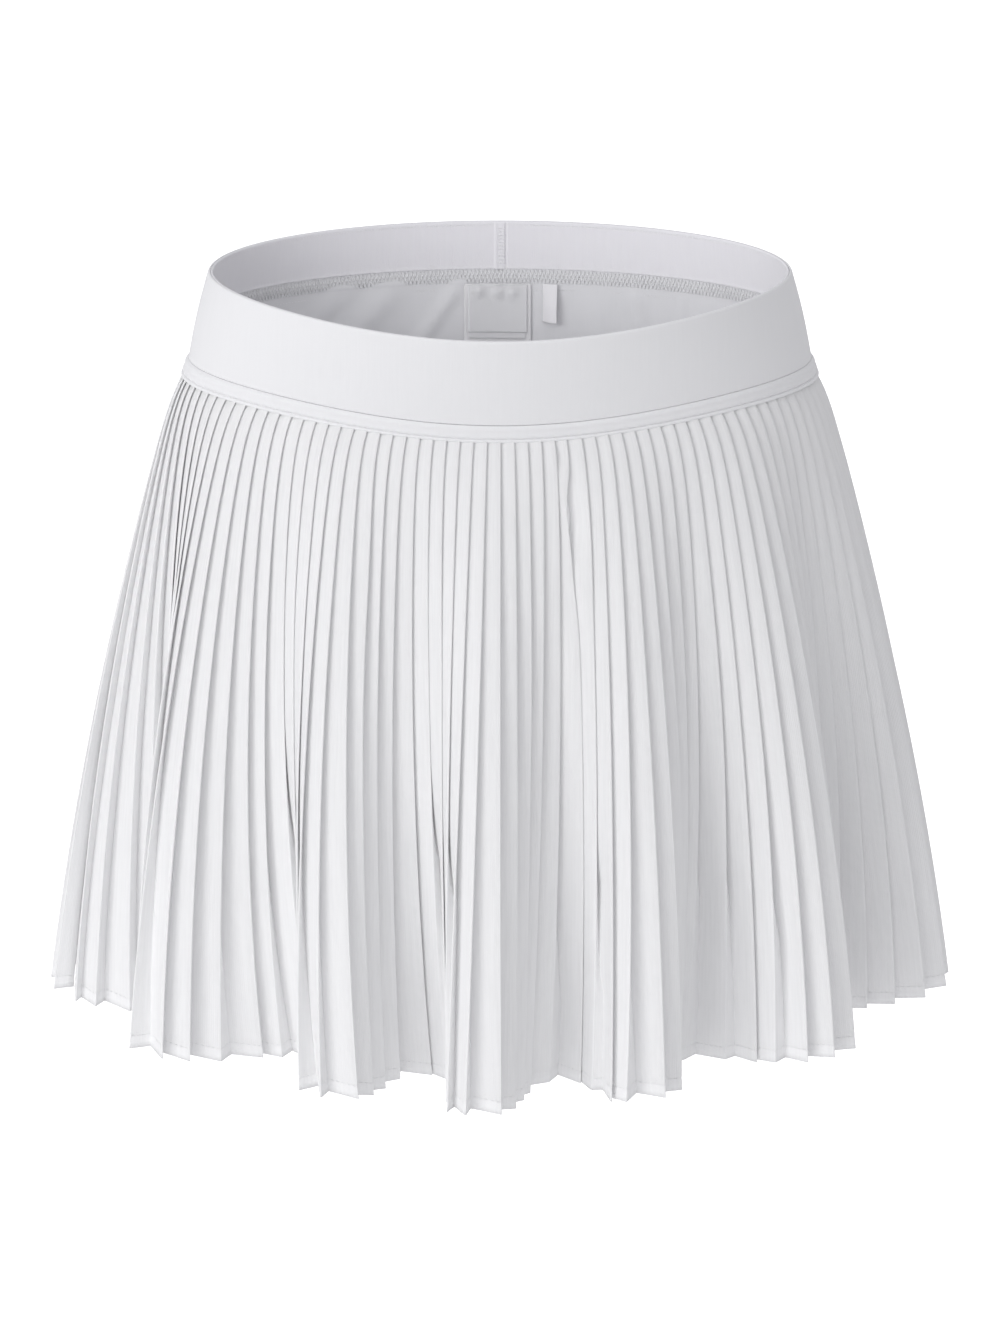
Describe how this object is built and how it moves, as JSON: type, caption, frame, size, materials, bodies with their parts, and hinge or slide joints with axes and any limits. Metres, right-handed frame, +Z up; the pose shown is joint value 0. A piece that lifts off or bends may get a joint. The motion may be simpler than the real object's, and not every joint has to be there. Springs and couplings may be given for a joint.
{
  "type": "pleated tennis skort",
  "caption": "Short knife-pleated sports skirt with a wide smooth waistband and plain inner shorts, hollow and open at waist and hem, in its worn shape.",
  "frame": {"origin": "centre of the waist, level with the waistband's upper edge at the sides, where the wearer's waist holds the garment", "axes": "+Z up the body, -Y towards the wearer's front, +X towards the wearer's left"},
  "size_m": [0.429, 0.2954, 0.3632],
  "materials": {
    "band_knit": "smooth matt double knit, white",
    "pleated_cloth": "light plain weave, heat set in knife pleats, matt white",
    "shorts_knit": "fine stretch jersey with a soft sheen, white",
    "label_satin": "woven satin tape, plain white"
  },
  "bodies": {
    "root": {"waistband_outer": "band_knit", "waistband_facing": "band_knit", "seam_piping": "band_knit", "skirt_front": "pleated_cloth", "skirt_back": "pleated_cloth", "shorts_left": "shorts_knit", "shorts_right": "shorts_knit", "care_label": "label_satin", "size_label": "label_satin"}
  },
  "joints": []
}
